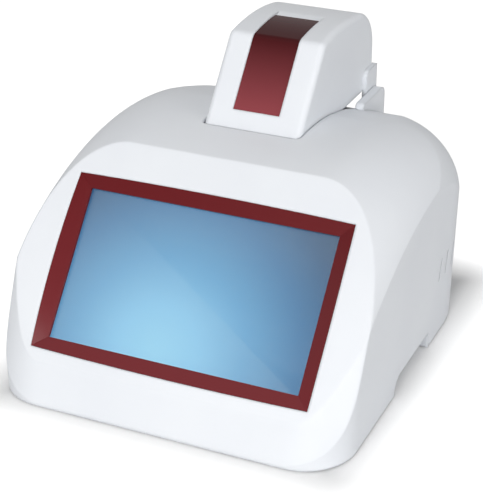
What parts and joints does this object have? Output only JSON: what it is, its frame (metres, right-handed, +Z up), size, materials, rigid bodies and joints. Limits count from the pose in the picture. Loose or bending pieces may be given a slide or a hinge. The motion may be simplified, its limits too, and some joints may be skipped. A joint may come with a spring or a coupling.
{
  "type": "microvolume spectrophotometer",
  "caption": "Bench instrument with a moulded hood, a sloping touch screen and a hinged lid arm over a droplet measuring point",
  "frame": {"origin": "middle of the footprint on the bench", "axes": "X to the viewer's right across the screen, Y from the screen to the back, Z up"},
  "size_m": [0.2176, 0.254, 0.1806],
  "materials": {
    "hood_abs": "satin moulded ABS, pale grey-white",
    "lid_abs": "satin moulded ABS, pale grey-white",
    "base_abs": "matte moulded ABS, mid grey",
    "inner_abs": "matte moulded ABS",
    "tray_abs": "matte moulded ABS",
    "port_abs": "black textured ABS",
    "rocker_plastic": "black glossy nylon",
    "jack_plastic": "black moulded nylon",
    "bezel_red": "dark red glossy moulding",
    "inlay_red": "dark red glossy strip",
    "screen_glass": "clear cover glass",
    "panel_face": "lit display panel, blue",
    "circuit_board": "green solder mask on glass-epoxy board",
    "screw_steel": "zinc-plated steel",
    "pin_steel": "ground stainless steel",
    "pedestal_steel": "polished 303 stainless steel",
    "spring_steel": "spring steel wire",
    "bracket_steel": "brushed steel sheet",
    "usb_steel": "nickel-plated steel sheet",
    "magnet_nickel": "nickel plating",
    "bush_bronze": "sintered bronze",
    "head_aluminium": "anodised aluminium, turned",
    "module_aluminium": "die-cast aluminium",
    "fibre_jacket": "black PVC jacket",
    "foot_rubber": "black rubber"
  },
  "bodies": {
    "housing": {"upper_housing": "hood_abs", "base_plate": "base_abs", "base_screws": "screw_steel", "rubber_feet": "foot_rubber", "display_bezel": "bezel_red", "touch_glass": "screen_glass", "lcd_panel": "panel_face", "display_cradle": "inner_abs", "driver_board": "circuit_board", "display_screws": "screw_steel", "latch_keepers": "magnet_nickel", "hinge_pins": "pin_steel", "well_tray": "tray_abs", "stage_disc": "head_aluminium", "pedestal": "pedestal_steel", "path_actuator": "bracket_steel", "actuator_bracket": "bracket_steel", "lower_fibre": "fibre_jacket", "main_board": "circuit_board", "power_board": "circuit_board", "spectrometer_module": "module_aluminium", "flash_lamp_module": "module_aluminium", "port_panel": "port_abs", "switch_frame": "port_abs", "dc_jack": "jack_plastic", "usb_ports": "usb_steel"},
    "lid": {"lid_shell": "lid_abs", "lid_inlay": "inlay_red", "lid_cover": "inner_abs", "lid_screws": "screw_steel", "head_bushing": "head_aluminium", "head_spring": "spring_steel", "head_bridge": "bracket_steel", "upper_fibre": "fibre_jacket", "latch_magnets": "magnet_nickel", "hinge_bushes": "bush_bronze"},
    "head": {"upper_head": "pedestal_steel"},
    "ferrule": {"path_ferrule": "pedestal_steel"},
    "rocker": {"power_rocker": "rocker_plastic"}
  },
  "joints": [
    {"name": "lid_hinge", "type": "hinge", "parent": "housing", "child": "lid", "pos_m": [0, 0.116, 0.119], "axis": [-1, 0, 0], "range_deg": [0, 80]},
    {"name": "head_slide", "type": "slide", "parent": "lid", "child": "head", "axis": [0, 0, 1], "range_m": [0, 0.0015], "stiffness_N_per_m": 600, "springref_m": -0.002, "deforming": ["head_spring"]},
    {"name": "path_slide", "type": "slide", "parent": "housing", "child": "ferrule", "axis": [0, 0, -1], "range_m": [0, 0.001]},
    {"name": "power_switch", "type": "hinge", "parent": "housing", "child": "rocker", "pos_m": [-0.027, 0.1223, 0.034], "axis": [1, 0, 0], "range_deg": [0, 16]}
  ]
}
